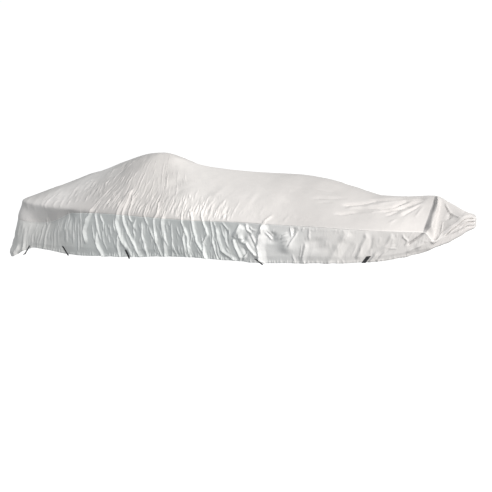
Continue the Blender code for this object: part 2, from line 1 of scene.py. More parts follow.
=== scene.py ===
# %% [markdown]
# # A fitted cover for a small open boat
#
# A boat cover is a few flat panels of coated cloth. Two top panels lie over the deck and the
# windscreen, and two skirts hang from them along the gunwales. The cloth shows the boat under
# it only as soft forms, and all else that the eye reads is the cloth's own: ridges
# where it is gathered, hollows where it sags, a welt where it is sewn. We write those forms
# as functions of two lengths measured on the cloth, because a sheet is a surface with two
# directions, and one function can then serve every panel.

# %% The frame
import math

import bmesh
import bpy
import numpy as np
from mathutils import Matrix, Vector


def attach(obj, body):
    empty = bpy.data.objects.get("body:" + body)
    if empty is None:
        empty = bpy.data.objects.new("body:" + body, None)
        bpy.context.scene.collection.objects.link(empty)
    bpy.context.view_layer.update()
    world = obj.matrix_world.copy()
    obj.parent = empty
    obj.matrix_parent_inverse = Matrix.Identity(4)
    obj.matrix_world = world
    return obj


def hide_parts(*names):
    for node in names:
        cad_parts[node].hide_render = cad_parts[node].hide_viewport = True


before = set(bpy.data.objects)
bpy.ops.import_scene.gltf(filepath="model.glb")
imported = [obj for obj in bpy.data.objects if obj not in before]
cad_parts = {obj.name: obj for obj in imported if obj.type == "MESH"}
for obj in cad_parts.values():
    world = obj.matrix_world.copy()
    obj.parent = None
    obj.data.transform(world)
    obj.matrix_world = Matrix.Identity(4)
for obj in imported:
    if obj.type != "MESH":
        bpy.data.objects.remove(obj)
scene = bpy.context.scene
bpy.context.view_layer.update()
print("solids:", sorted(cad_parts))

# %% [markdown]
# ## Smooth curves through a few given numbers
#
# The deck's edge, the hem and the spine of the top are each known at a few stations. A cubic
# joins them. We pick slopes that never overshoot, since cloth pulled over a frame doesn't
# bulge past what holds it up.

# %% Curves
def ramp(value):
    """0 below 0, 1 above 1, and the smooth S of 3 v^2 - 2 v^3 between."""
    value = np.clip(value, 0, 1)
    return value * value * (3 - 2 * value)


def slopes(knots, values):
    """Slopes at the knots: a weighted harmonic mean of the rises on both sides."""
    step, rise = np.diff(knots), np.diff(values) / np.diff(knots)
    near, far = step[1:] * 2 + step[:-1], step[1:] + step[:-1] * 2
    same = rise[:-1] * rise[1:] > 0
    before, after = np.where(same, rise[:-1], 1), np.where(same, rise[1:], 1)
    inner = np.where(same, (near + far) / (near / before + far / after), 0)
    return np.concatenate(([rise[0]], inner, [rise[-1]]))


def smooth(at, knots, values):
    """Values at some places: the cubic of each span, from its two ends and their slopes."""
    at = np.clip(at, knots[0], knots[-1])
    k = np.clip(np.searchsorted(knots, at, side="right") - 1, 0, len(knots) - 2)
    step, slope = np.diff(knots)[k], slopes(knots, values)
    u = (at - knots[k]) / step
    return (values[k] * (1 + 2 * u) * (1 - u) ** 2 + values[k + 1] * u * u * (3 - 2 * u)
            + step * u * (1 - u) * (slope[k] * (1 - u) - slope[k + 1] * u))


def columns(rows, names):
    """A table in thousandths as one array per named column, in metres."""
    return dict(zip(names.split(), np.array(rows).T / 1000))


# %% The boat under the cloth
# In millimetres, and crown in thousandths. edge, hem: heights of the deck's edge and of the
# hem; seam: how far below the edge the top is sewn to the skirt; tuck, lean: how far outside
# the edge the cloth hangs at the seam and at the hem; soft: rounding over the edge; crown:
# fullness of the top; spine: the x where the thread from this station meets the spine
OUTLINE = columns((
    (-2370,    0,   55, 190, -510,  20,  70, 40, 1000, -1780),
    (-2370,  450,   36, 190, -510,  25,  80, 40, 1030, -1780),
    (-2368,  780,   12, 190, -540,  45, 120, 25, 1120, -1760),
    (-2325,  880,    2, 195, -590,  55, 140, 20, 1250, -1740),
    (-2150,  930,   -8, 205, -475,   0,  75, 40, 1420, -1690),
    (-1930,  950,  -12, 178, -485, -22,  40, 55, 1500, -1600),
    (-1600,  968,  -18,  50, -510,  -8,  15, 50, 1550, -1450),
    ( -900,  992,  -24,  10, -470,   0,   0, 55, 1750, -1180),
    ( -200, 1000,  -20,  10, -410,   0, -10, 42, 1750,  -820),
    (  500,  975,   -2,  10, -402,   0, -15, 18, 1750,   120),
    ( 1100,  880,   -6,  10, -374,   0, -15, 12, 1650,   900),
    ( 1600,  720,  -26,  10, -346,   0, -15, 12, 1450,  1480),
    ( 1950,  535,  -42,  10, -292,   0, -15, 12, 1250,  1880),
    ( 2080,  435,  -52,  10, -254,   0, -10, 12, 1120,  2020),
    ( 2160,  370, -140,  10, -218,   0,   0, 12, 1080,  2080),
    ( 2300,  245,  -25,  10, -152,   0,   0, 12, 1100,  2200),
    ( 2405,  115,   60,  10,  -78,   0,   0, 15, 1200,  2300),
    ( 2450,    0,   55,  10,  -50,   0,   0, 20, 1300,  2340),
), "x half edge seam hem tuck lean soft crown spine")
SPINE = columns((
    (-1780, 298), (-1600, 372), (-1420, 438), (-1250, 486), (-1110, 501), (-960, 467),
    (-800, 411), (-620, 382), (-450, 368), (-200, 356), (100, 350), (500, 357), (800, 332),
    (1150, 256), (1450, 204), (1700, 208), (2040, 237), (2200, 172), (2340, 106),
), "x height")
CREST = 0.338  # height of the top's underside above the gunwale line, amidships
SPLIT = 2.725  # where the cross seam meets the edge, along the edge
STITCHED = 0.007  # flat strip beside the gunwale seam
HEM_SHARE = 0.20  # the share of the skirt's depth that the elastic draws in
DRAWN_IN = 0.012  # how far it draws the hem in

turn = np.array([OUTLINE["x"], OUTLINE["half"]]).T
turn = np.vstack((turn[1] * (1, -1), turn, turn[-2] * (1, -1)))
KNOTS = np.concatenate(([0], np.cumsum(np.hypot(*np.diff(turn, axis=0).T))))
KNOTS -= KNOTS[1]
HALF_LENGTH = KNOTS[-2]
print(f"half the outline is {HALF_LENGTH:.3f} m long")


def station(name, along):
    """One column of the outline, smoothed, at lengths along the edge from the stern."""
    return smooth(along, KNOTS[1:-1], OUTLINE[name])


def hem_drop(along):
    """How far below the edge the hem hangs."""
    return station("edge", along) - station("hem", along)


def on_cloth(along, drop):
    """The two lengths that the finish follows: along the edge, and below the seam."""
    return np.stack((along, drop - station("seam", along)), -1)


def edge_plan(along):
    """The edge in plan, and its outward direction, square to the line between neighbours."""
    at = [np.stack((smooth(along + d, KNOTS, turn[:, 0]), smooth(along + d, KNOTS, turn[:, 1])))
          for d in (-0.004, 0, 0.004)]
    way = at[2] - at[0]
    way /= np.hypot(*way)
    return at[1][0], at[1][1], -way[1], way[0]


def outwards(along):
    """The edge's level outward direction; its second number leads from the centreline."""
    _, _, out_x, out_half = edge_plan(along)
    return np.stack((out_x, out_half, 0 * out_x), -1)


# %% [markdown]
# ## The cloth before its folds
#
# Every place on the cloth has two names: `along`, the length round the edge from the middle
# of the stern, and `drop`, how far below the edge it hangs, or minus its distance up the top.
# The top rises from the edge to the spine as a power curve, which is how a taut sheet crowns
# over a frame. The skirt is ruled straight down, and the elastic in the hem draws it in.
# Between them the two faces are blended by a quadratic, which rounds the edge of the deck.

# %% Top, skirt and the turn between them
def crown_point(along, reach):
    """Straight in plan from edge to spine; height is the edge's plus the spine's rise above
    it times 1 - (1 - share) ^ crown."""
    x, half, _, _ = edge_plan(along)
    ahead = station("spine", along) - x
    share = np.clip(reach / np.hypot(ahead, half), 0, 1)
    x = x + ahead * share
    edge = station("edge", along)
    rise = smooth(x, SPINE["x"], SPINE["height"]) - edge
    return np.stack((x, half * (1 - share),
                     edge + rise * (1 - (1 - share) ** station("crown", along))), -1)


def skirt_point(along, drop):
    """The edge moved outwards by tuck at the seam, sliding to lean at the hem."""
    x, half, out_x, out_half = edge_plan(along)
    edge, seam = station("edge", along), station("seam", along)
    tuck, lean = station("tuck", along), station("lean", along)
    depth, top = edge - station("hem", along), seam + STITCHED
    below = np.clip((drop - top) / (depth - top), 0, 1)
    pulled = DRAWN_IN * np.clip((below - 1) / HEM_SHARE + 1, 0, 1)
    out = tuck * ramp(drop / seam) + (lean - tuck) * below - pulled
    return np.stack((x + out_x * out, half + out_half * out, edge - drop), -1)


def turning(along, drop):
    """0 on the top, 1 on the skirt, and how soft the turn is on both of its sides."""
    soft = station("soft", along)
    under = np.minimum(soft * 0.6, np.maximum(station("seam", along) - STITCHED, 0.026))
    return np.clip((drop + soft) / (soft + under), 0, 1)[..., None], soft, under


def unfolded(along, drop):
    """top (1 - s)^2 + corner 2 s (1 - s) + skirt s^2, where s is the share of the turn."""
    s, soft, under = turning(along, drop)
    top = crown_point(along, np.maximum(-drop, soft))
    side = skirt_point(along, np.maximum(drop, under))
    corner = skirt_point(along, np.zeros_like(drop))
    return top * (1 - s) ** 2 + corner * 2 * s * (1 - s) + side * s * s


def top_length(along):
    """Plan distance from the edge to the spine."""
    x, half, _, _ = edge_plan(along)
    return np.hypot(station("spine", along) - x, half)


print("top, middle of the side to the spine:", round(float(top_length(np.array([3.0]))[0]), 3))


# %% [markdown]
# ## Folds
#
# A fold in tight cloth is a sharp crest on a broad, soft base. Its crest wanders, so we give
# it as a path of a few places on the cloth, and measure every point's distance to that path.
# The side that faces the stern is the steeper one, because the boat's taper drags the cloth
# forward and lays the folds over. The large folds are listed one by one, each with its own width
# and height. The small ones come in families, strewn by a seeded random generator, so each
# run gives the same cloth.

# %% One fold
LATTICE = 128  # random numbers each way, before the noise repeats


def waves(u, v, seed, cell):
    """Noise from -1 to 1: random numbers on a lattice, blended by the S ramp."""
    numbers = np.random.default_rng(seed).uniform(-1, 1, (LATTICE, LATTICE))
    i, j = np.floor(u / cell).astype(int), np.floor(v / cell).astype(int)
    a, b = ramp(u / cell - i), ramp(v / cell - j)
    i, j, after_i, after_j = (n % LATTICE for n in (i, j, i + 1, j + 1))
    low = numbers[i, j] * (1 - a) + numbers[after_i, j] * a
    high = numbers[i, after_j] * (1 - a) + numbers[after_i, after_j] * a
    return low * (1 - b) + high * b


def add_fold(out, u, v, half, height, path, steep=0.80, taper=0.055, crisp=0.82):
    """Adds height * (crisp (1 - d)^1.3 + (1 - crisp) / (1 + d^2)^2), where d is the distance
    from the path over half, times steep on the bow's side and over steep on the other."""
    nodes = np.reshape(path, (-1, 2))
    low, high = nodes.min(0) - 3.2 * half, nodes.max(0) + 3.2 * half
    near = (u > low[0]) & (u < high[0]) & (v > low[1]) & (v < high[1])
    p, q = u[near], v[near]
    best, at, side, run = np.full(p.shape, 9.0), np.zeros(p.shape), np.zeros(p.shape), 0.0
    for start, end in zip(nodes, nodes[1:]):
        length = np.hypot(*(end - start))
        way = (end - start) / length
        forward = np.clip((p - start[0]) * way[0] + (q - start[1]) * way[1], 0, length)
        gap = np.hypot(p - start[0] - forward * way[0], q - start[1] - forward * way[1])
        closer = gap < best
        best, at = np.where(closer, gap, best), np.where(closer, run + forward, at)
        side = np.where(closer, (p - start[0]) * way[1] - (q - start[1]) * way[0], side)
        run += length
    taper = min(taper, run * 0.35)
    d = best / half * np.where(side > 0, steep, 1 / steep)
    crest = np.clip(1.05 - np.sqrt(d * d + 0.004), 0, 1) ** 1.3
    shape = crisp * crest + (1 - crisp) / (1 + d * d) ** 2
    shape *= ramp(at / taper) * ramp((run - at) / taper) * np.clip(1.45 - d / 3, 0, 1)
    out[near] += height * shape * (1 + 0.3 * waves(at + nodes[0, 0] * 7, 0 * at, 5, 0.06))


# %% [markdown]
# ## The folds given one by one
#
# Each row is a fold, in millimetres: half its width, its height, and its path as pairs of
# along and below, the distance below the gunwale seam. Below is negative up the top. A
# negative height is a hollow. Paths that reach 400 run out over the hem. A row may end with
# steep, where 1 makes both sides alike, with the length in which its ends fade, and with crisp.

# %% Starboard folds
STARBOARD = (
    # the bunched corner of the stern
    (22, 10, (790, 270, 820, 360, 800, 460)),
    (18, 13, (860, 200, 880, 310, 910, 440)),
    (22, 20, (960, 240, 940, 340, 970, 420)),
    (14, 12, (1030, 220, 1010, 310, 1040, 380)),
    # the gathered middle of the skirt, from the quarter forward
    (25, 25, (1880, -80, 1850, 0, 1810, 50, 1770, 170, 1790, 330), 0.72),
    (12, 9, (1930, -50, 1920, 20)),
    (15, 15, (1910, -20, 1930, 90, 1945, 170, 1925, 270)),
    (25, 24, (1925, 220, 1935, 320, 1970, 400, 2020, 500), 0.72),
    (12, 13, (1970, 0, 1990, 50, 2015, 100, 2020, 190)),
    (24, 24, (2260, -270, 2220, -150, 2190, -30, 2185, 70, 2210, 170, 2250, 270, 2360, 440,
              2420, 520), 0.76),
    (18, 17, (2195, 200, 2200, 340, 2240, 500)),
    (17, 21, (2290, -300, 2270, -170, 2260, -20, 2290, 90, 2330, 190, 2390, 280, 2460, 420,
              2500, 500)),
    (14, 14, (2300, -260, 2335, -150, 2335, -40, 2350, 20, 2390, 90)),
    (12, 12, (2440, 10, 2410, 80, 2400, 150, 2410, 240)),
    (16, 17, (2490, 50, 2500, 190, 2530, 300, 2570, 460)),
    (13, 13, (2540, -120, 2520, -20, 2540, 30, 2575, 100)),
    (12, 9, (2580, 100, 2640, 230, 2710, 420)),
    (15, 17, (2680, -220, 2680, -60, 2640, 20, 2650, 150, 2670, 280)),
    (24, 22, (2760, -60, 2740, 20, 2750, 140, 2770, 260, 2765, 460), 0.72),
    (13, 11, (2655, 130, 2670, 260, 2730, 420)),
    (12, 7, (2860, 70, 2850, 420)),
    (13, 14, (2970, -80, 2965, 30, 3000, 100, 2990, 180, 3020, 440)),
    (16, 20, (2990, 60, 3040, 170, 3065, 440)),
    (18, 20, (3075, -140, 3090, 10, 3110, 100, 3140, 210, 3200, 310, 3280, 440)),
    (15, 17, (3220, -160, 3200, -50, 3240, 80, 3260, 140, 3215, 220, 3215, 300, 3240, 430)),
    (13, 14, (3300, -30, 3320, 180, 3370, 420)),
    (22, 20, (3350, 50, 3380, 180, 3420, 290, 3480, 340, 3580, 400), 0.72),
    (12, 10, (3350, 130, 3400, 400)),
    (10, 10, (3420, 0, 3510, 100)),
    (19, -9, (3470, 60, 3490, 240), 1.0),
    # the crumple amidships
    (40, 44, (3632, 20, 3600, 80, 3545, 155), 0.5, 30),
    (50, 26, (3600, 150, 3660, 150), 1.0, 20),
    (14, -16, (3550, 168, 3660, 168, 3700, 130), 1.0),
    (20, 24, (3535, 165, 3565, 240, 3600, 320, 3620, 370), 0.68, 30),
    (19, 25, (3610, 175, 3690, 205, 3740, 285, 3810, 345, 3900, 420), 0.9),
    (30, -16, (3700, 340, 3660, 270, 3640, 230), 1.0),
    (16, 18, (3700, 270, 3680, 310, 3630, 380)),
    (16, 22, (3680, 0, 3700, 70, 3750, 100)),
    (12, 13, (3710, 30, 3745, 60, 3800, 75)),
    (22, -16, (3710, 100, 3750, 187, 3790, 264), 1.0),
    (19, 20, (3720, 90, 3745, 130, 3800, 210, 3825, 280), 0.9),
    (48, 48, (3870, -10, 3845, 60, 3825, 150, 3820, 260, 3850, 440), 0.66),
    (13, 20, (3950, -120, 3880, -35, 3860, 20, 3850, 110)),
    (16, 18, (3880, 70, 3920, 105, 3970, 165), 0.9),
    (11, 12, (3905, 55, 3975, 125)),
    (12, 11, (4040, 145, 4130, 85)),
    (11, 9, (4050, 112, 4120, 65)),
    (12, 9, (4050, 175, 4130, 130)),
    (12, 9, (4135, 0, 4150, 120), 0.9),
    (14, 12, (4215, 40, 4165, 125, 4110, 220)),
    (18, -13, (4180, 0, 4160, 110), 1.0),
    (14, 10, (4320, 0, 4320, 140)),
    (15, 7, (4150, 270, 4220, 420)),
    (30, 9, (4290, 140, 4240, 400)),
    # the long slack ones forward, drawn towards the tie-down
    (60, 13, (4710, 10, 4630, 110, 4560, 230, 4500, 400), 0.8),
    (40, -6, (4750, 120, 4660, 220, 4620, 300), 1.0),
    (34, 11, (4860, 0, 4870, 70, 4830, 160, 4770, 300)),
    (24, -7, (4930, 40, 4910, 160, 4840, 280), 1.0),
    (28, 15, (5120, 10, 5060, 120, 4980, 200, 4880, 320)),
    (18, 13, (5140, 110, 5040, 200, 4950, 330)),
    (10, 7, (5050, 160, 5170, 160)),
    (12, 11, (5200, 0, 5225, 50, 5260, 80, 5230, 140)),
    (14, -24, (5425, -10, 5385, 30, 5330, 70, 5260, 125), 1.0, 40),
    (22, 13, (5420, 80, 5370, 120, 5310, 155, 5240, 200), 0.8),
    # the bow
    (46, 60, (5468, -460, 5464, -330, 5454, -200, 5444, -90, 5438, -15), 0.56, 50, 1.0),
    (45, 12, (5465, -60, 5435, 30, 5380, 100, 5310, 160), 0.6, 60, 0.2),
    (12, 9, (5600, -160, 5595, -100, 5580, -40)),
    (14, 12, (5600, -310, 5650, -240, 5720, -150, 5820, -50)),
    (18, 22, (5970, -34, 5830, -28, 5710, -28, 5600, -34, 5480, 30)),
    (12, -22, (5985, -4, 5850, 2, 5720, 6, 5600, 12), 1.0),
    (10, 12, (5985, 16, 5860, 22, 5760, 26)),
    (10, -20, (5985, 30, 5870, 38, 5790, 46), 1.0),
    (11, 12, (5920, 50, 5830, 60, 5680, 30)),
    (10, -18, (5985, 68, 5870, 80, 5780, 85), 1.0),
)
print(len(STARBOARD), "folds set by hand to starboard")

# %% Port folds
PORT = (
    (36, 24, (1790, -140, 1760, 0, 1790, 220, 1830, 500)),
    (20, 19, (1940, -200, 1920, 0, 1960, 200, 1990, 300)),
    (28, 25, (2140, -260, 2120, 0, 2160, 220, 2260, 500)),
    (20, 23, (2240, -220, 2260, 0, 2320, 220, 2430, 500)),
    (22, 19, (2450, -200, 2460, 0, 2470, 200, 2540, 460)),
    (26, 23, (2640, -220, 2650, 40, 2660, 460)),
    (20, 18, (2860, -160, 2860, 0, 2900, 180, 2950, 340)),
    (24, 24, (3020, -200, 3040, 0, 3080, 200, 3160, 450)),
    (22, 19, (3240, -140, 3240, 70, 3260, 200, 3320, 440)),
    (22, 18, (3430, -120, 3440, 0, 3490, 200, 3520, 260)),
    (34, 24, (3660, 50, 3680, 200, 3770, 440)),
    (34, 22, (3910, -100, 3900, 0, 3880, 200, 3920, 440)),
    (28, 16, (4190, -100, 4180, 0, 4160, 200, 4140, 320)),
    (44, 14, (4480, 20, 4420, 180, 4350, 400)),
    (40, 17, (4780, 0, 4710, 160, 4630, 360)),
    (30, 19, (5040, 10, 4960, 140, 4870, 300)),
    (22, 17, (5260, -100, 5250, 20, 5160, 120, 5060, 260)),
    (26, -26, (5420, -400, 5430, -30, 5310, 100, 5180, 220)),
    (34, 30, (5500, -400, 5470, -100, 5450, 100)),
    (30, -12, (5720, -150, 5720, 0, 5720, 100)),
)

# %% Soft hollows and swells
# Broad forms, much wider than a fold, on both sides of the boat
BROAD = (
    (80, -18, (980, 0, 1120, 0, 1300, 10, 1500, 20, 1680, 50)),
    (80, 10, (1100, 180, 1350, 150, 1650, 160)),
    (50, 10, (700, 280, 860, 360, 1000, 300)),
    (60, -22, (3955, 60, 3955, 200)),
    (90, 18, (4120, 60, 4100, 300)),
    (100, -10, (4380, 80, 4420, 260)),
    (40, -12, (5680, -200, 5670, -120)),
)

# Creases that fan out over the foredeck from the top of the bow rail. Their paths are in
# plan, as pairs of x and distance from the centreline
FOREDECK = (
    (24, -31, (2000, 40, 1720, 90, 1500, 190, 1430, 260, 1240, 460)),
    (20, 15, (1990, 50, 1760, 110, 1600, 220, 1400, 370, 1280, 500)),
    (19, -28, (2000, 60, 1790, 130, 1710, 260, 1560, 360)),
    (17, 14, (1990, 70, 1840, 150, 1740, 280, 1600, 390, 1500, 450)),
    (17, -24, (1980, 80, 1840, 190, 1770, 290, 1620, 410)),
    (15, -20, (1980, 100, 1820, 250, 1760, 360, 1700, 470)),
    (15, 11, (1970, 130, 1860, 280, 1780, 420)),
    (12, -13, (1970, 150, 1890, 300, 1840, 420)),
    (13, 7, (1820, 440, 1750, 550)),
    (13, 7, (1980, 180, 1950, 360)),
    (14, -13, (1880, 60, 1660, 100, 1400, 200)),
    (14, -13, (1660, 280, 1480, 380, 1360, 440)),
    (22, -15, (1500, 420, 1330, 560, 1220, 640)),
    (20, -13, (1400, 520, 1280, 620)),
    (18, -11, (1240, 290, 1070, 410, 920, 490)),
    (16, -9, (1160, 430, 1000, 540)),
    (16, 6, (1180, 280, 1020, 360, 880, 420)),
    (16, -7, (1100, 240, 900, 320, 700, 360)),
    (15, 5, (980, 260, 800, 340)),
    (15, -6, (860, 400, 660, 460)),
)
# Broad swells and hollows of the top, in plan
SWELLS = (
    (150, -18, (-2200, 50, -2160, 300, -2120, 550)),
    (160, -14, (-720, 420, -550, 620, -400, 740)),
    (140, 12, (-200, 600, 300, 660, 800, 600)),
    (120, -12, (-1450, 300, -1320, 520)),
)
# Abaft the peak the cloth bridges the bend where the spine starts to rise, so the quarter is
# one sweep: a tent-shaped fill over the bend
BRIDGE = ((180, 18, (-1780, 20, -1780, 800)),)
print(len(PORT), "port folds,", len(BROAD), "broad forms,", len(FOREDECK), "on the foredeck")

# %% [markdown]
# ## Families of small folds
#
# Where the skirt is gathered into the seam, the top above it puckers in many fine parallel
# ridges. The stern hangs in shallow ripples, and the elastic gathers the hem. Each family is
# a row, in millimetres: its stretch of the edge, how close its folds lie, where they start
# and how long they are, how much they lean towards the bow in thousandths of their length,
# how far they stray from that, and how wide and high they are.

# %% Families
FAMILIES = (
    # from, to, every, start, spread, length, longer, lean, stray, half width, height
    ( 980, 1950, 24,  -85, -220, -70, -180, -500, 12,  9,  6.8),
    ( 900, 1950, 22, -160, -480, -80, -200, -500, 12, 10,  5.6),
    (1850, 3550, 34,    4,  -50, -90, -240,  320, 14,  9,  5.2),
    (1900, 3500, 24,  -10, -100, -80, -200,  340, 12,  8,    5),
    (1800, 3450, 22,  -80, -280, -70, -180,  320, 16,  9,    5),
    (1500, 3100, 20, -220, -500, -80, -220,    0, 16, 10,  3.8),
    (1900, 3500, 26,   -5, -220, -70, -140,  360, 26,  8, -7.2),
    (3500, 4300, 40,   -6, -120, -40, -120,  400, 40, 10,  3.6),
    (  50, 1000, 30,    0,  100, 140,  220,    0,  8, 13,    6),
    ( 980, 1800, 24,  -60,  160, 100,  280,    0,  8, 11,  5.8),
    (1850, 3600, 32,    0,  160,  60,  180,  250, 22,  9,    6),
    (1850, 3600, 40,  150,  150,  60,  150,  300, 30, 10,  5.8),
    (2200, 3600, 90,   20,  200,  60,  140, -300, 30, 10,    6),
    (3600, 5400, 60,    0,  160,  50,  140, -250, 40, 12,  3.2),
    (4150, 4800, 22,    0,   12,  16,   40,    0,  6,  8,    3),
    (5100, 5900, 30,  -20,   80,  40,   80, -600, 30,  9,  4.8),
)
HEM_FAMILIES = (
    # from, to, every, above the hem, spread, stray, half width, height
    (  50,  760, 30, 20,  70, 10, 11,  7),
    ( 760, 1060, 14, 20, 110, 20, 10, 13),
    (1000, 1800, 22, 10,  50, 12,  9,  7),
    (1800, 3700, 22, 12,  60, 12,  9,  7),
    (3700, 5400, 24, 12,  40, 10,  9,  6),
)


def strewn(seed):
    """The families' folds, as rows of half width, height and path."""
    chance, rows = np.random.default_rng(seed), []

    def scattered(first, last, every):
        """A place at random in each step of a stretch."""
        for n in range(int((last - first) / every)):
            yield first + every * (n + chance.uniform(0, 1))

    for (first, last, every, start, spread, length, longer, lean, stray, half,
         height) in np.array(FAMILIES) / 1000:
        for a in scattered(first, last, every):
            begin = start + spread * chance.uniform(0, 1)
            end = begin + length + longer * chance.uniform(0, 1) ** 1.5
            drift = stray * chance.uniform(-1, 1) + lean * abs(end - begin)
            size = chance.uniform(0.4, 1.3)
            rows.append((half * chance.uniform(0.8, 1.3), height * size,
                         (a, begin, a + drift * 0.4, (begin + end) / 2, a + drift, end)))
    for first, last, every, above, spread, stray, half, height in np.array(HEM_FAMILIES) / 1000:
        for a in scattered(first, last, every):
            hem = float(hem_drop(a) - station("seam", a))
            begin = hem - above - spread * chance.uniform(0, 1)
            rows.append((half * chance.uniform(0.8, 1.4), height * chance.uniform(0.5, 1.3),
                         (a, begin, a + stray * chance.uniform(-1, 1), hem + 0.06)))
    return rows


print(len(strewn(3)), "small folds on a side")


# %% [markdown]
# ## The folded cloth
#
# All heights are added up, faded at the panel ends where the sewing pulls them flat, and the
# cloth is pushed out by the sum: square to itself on the top, straight outwards on the skirt.
# A slow noise bends the paths a little, so no crest is ruled. The welt of the gunwale seam
# and the channel of the hem are low raised bands.

# %% Heights
TIES = [dict(zip(("top", "foot", "above", "below", "width"), np.array(sizes) / 1000),
             name=name, layers=layers) for name, layers, *sizes in (
    # where its top and foot are along the edge, its reach above and below the hem, its width
    ("tie_stern", 1, 1070, 1025, 30, 45, 16),
    ("tie_quarter", 1, 1490, 1560, 76, 14, 20),
    ("tie_aft", 1, 2295, 2335, 76, 18, 22),
    ("tie_middle", 1, 3775, 3860, 40, 14, 22),
    ("tie_fore", 2, 4895, 4845, 62, 6, 40),
)]
HEM_CHANNEL = 0.024  # how far the channel for the elastic reaches up from the hem
WELT, CROSS, CHANNEL = 0.0014, 0.0012, 0.0014  # how far what is sewn stands out
NARROW, WIDE = 1.7, 0.6  # outboard flanks of the foredeck's hollows and of its crests


def held_flat(along, drop):
    """0.15 within 8 mm of a sewn tie-down, rising to 1 over 30 mm beside it, 50 above it."""
    depth = hem_drop(along)
    free = np.ones_like(along)
    for tie in TIES:
        level = np.clip((drop - depth + tie["above"]) / (tie["above"] + tie["below"]), 0, 1)
        off = np.abs(along - tie["top"] - (tie["foot"] - tie["top"]) * level)
        near = 1 - ramp((off - tie["width"] / 2 - 0.008) / 0.03)
        free *= 1 - 0.85 * near * ramp((drop - depth + tie["above"] + 0.05) / 0.05)
    return free


def in_metres(rows):
    """A table's rows with their lengths over 1000: half width, height, path and taper."""
    for half, height, path, *shape in rows:
        shape[1:2] = [taper / 1000 for taper in shape[1:2]]
        yield half / 1000, height / 1000, np.array(path) / 1000, *shape


def fold_heights(side, along, drop, x, half):
    """The sum of all the folds of one side, in metres."""
    below = drop - station("seam", along)
    u = along + 0.007 * waves(along, below, 11, 0.11) + 0.003 * waves(along, below, 12, 0.04)
    v = below + 0.006 * waves(along, below, 13, 0.13)
    out = np.zeros_like(along)
    for row in (*in_metres(STARBOARD if side < 0 else PORT), *strewn(3 if side < 0 else 8)):
        add_fold(out, u, v, *row)
    for row in in_metres(BROAD):
        add_fold(out, u, v, *row, steep=1.0, taper=0.12, crisp=0.0)
    fore, warp = np.zeros_like(along), 0.01 * waves(x, half, 14, 0.15)
    for row in in_metres(FOREDECK):
        # the flank that turns from the lamp is the narrow one
        flank = NARROW if row[1] < 0 else WIDE
        add_fold(fore, x + warp, half + warp, *row, steep=flank, taper=0.10, crisp=0.6)
    for row in in_metres(SWELLS):
        add_fold(fore, x + warp, half + warp, *row, steep=1.0, taper=0.20, crisp=0.0)
    for row in in_metres(BRIDGE):
        add_fold(fore, x, half, *row, steep=1.0, taper=0.20, crisp=1.0)
    out += 0.0030 * waves(along, below, 21 + side, 0.22) + 0.0012 * waves(along, below, 23, 0.07)
    # fades at the panels' ends and at the spine, and to a fifth at the cross seam
    ends = ramp((along - 0.01) / 0.05) * ramp((HALF_LENGTH - 0.002 - along) / 0.03)
    spine = ramp((top_length(along) + drop - 0.004) / np.minimum(0.05, top_length(along) * 0.5))
    cross = 1 - 0.8 * ramp(1 - np.abs(along - SPLIT) / 0.02) * ramp(-drop / 0.03)
    out = out * spine * cross + fore * ramp(-drop / 0.05) * ramp(half / 0.11)
    return out * ends * held_flat(along, drop)


def sewn_heights(along, drop):
    """The welt at the seams, and the hem's channel, as low rounded bands."""
    below = drop - station("seam", along)
    depth = hem_drop(along)
    welt = WELT * ramp(1 - np.abs(below + 0.008) / 0.010) * ramp((along - 1.6) / 0.3)
    cross = CROSS * ramp(1 - np.abs(np.abs(along - SPLIT) - 0.007) / 0.007) * ramp(-drop / 0.02)
    up = (depth - drop) / HEM_CHANNEL
    channel = CHANNEL * np.sqrt(np.clip(1 - (2 * up - 1) ** 2, 0, 1)) * (up < 1)
    return welt + cross + channel


# %% The cloth itself
def cloth(side, along, drop):
    """The unfolded cloth plus its heights times the outward direction."""
    spot = unfolded(along, drop)
    # square to two small steps on the cloth
    by_along = unfolded(along + 0.003, drop) - unfolded(along - 0.003, drop)
    by_drop = unfolded(along, drop + 0.0005) - unfolded(along, drop - 0.0005)
    square = np.cross(by_along, by_drop)
    square /= np.linalg.norm(square, axis=-1, keepdims=True) + 1e-12
    share, _, _ = turning(along, drop)
    way = square * (1 - share) + outwards(along) * share
    way /= np.linalg.norm(way, axis=-1, keepdims=True) + 1e-12
    push = fold_heights(side, along, drop, spot[..., 0], spot[..., 1]) + sewn_heights(along, drop)
    spot = spot + way * push[..., None]
    # the hem is not ruled: it rises and falls a little, and sags at the stern's corner
    depth = hem_drop(along)
    uneven = 0.004 * waves(along, 0 * along, 31 + side, 0.07)
    sag = 0.016 * ramp((along - 0.86) / 0.12) * ramp((1.16 - along) / 0.12)
    spot[..., 2] += (uneven - sag) * ramp((drop - depth + 0.12) / 0.12)
    if side > 0:
        # the port hem is drawn up a little more under the bow
        reach = ramp((drop - station("seam", along)) / 0.07)
        spot[..., 2] += 0.024 * ramp((along - 5.45) / 0.2) * ramp((5.99 - along) / 0.06) * reach
    return spot * (1, side, 1) - (0, 0, CREST)


# %% [markdown]
# ## Panels
#
# A panel is a grid of points, `along` across and `drop` down. Its columns lie closer where
# the folds are fine, since a crest needs four or five points across it to look sharp. Each
# point keeps its place on the cloth as a UV map in metres, and the weave and the stitches of
# the finish follow that map. Solidify then gives the cloth its thickness on the inside.

# %% Grids and meshes
CLOTH = 0.002  # thickness of the coated cloth
PARTED = 0.0002  # how far a panel's edge stays off the line of its seam


def spaced(first, last, stretches):
    """Places from first to last, each stretch of the edge with its own spacing."""
    ends = [first] + [end for end, _ in stretches[:-1]] + [last]
    parts = [np.linspace(a, b, max(int(round((b - a) / gap)), 2), endpoint=False)
             for a, b, (_, gap) in zip(ends, ends[1:], stretches)]
    return np.concatenate(parts + [[last]])


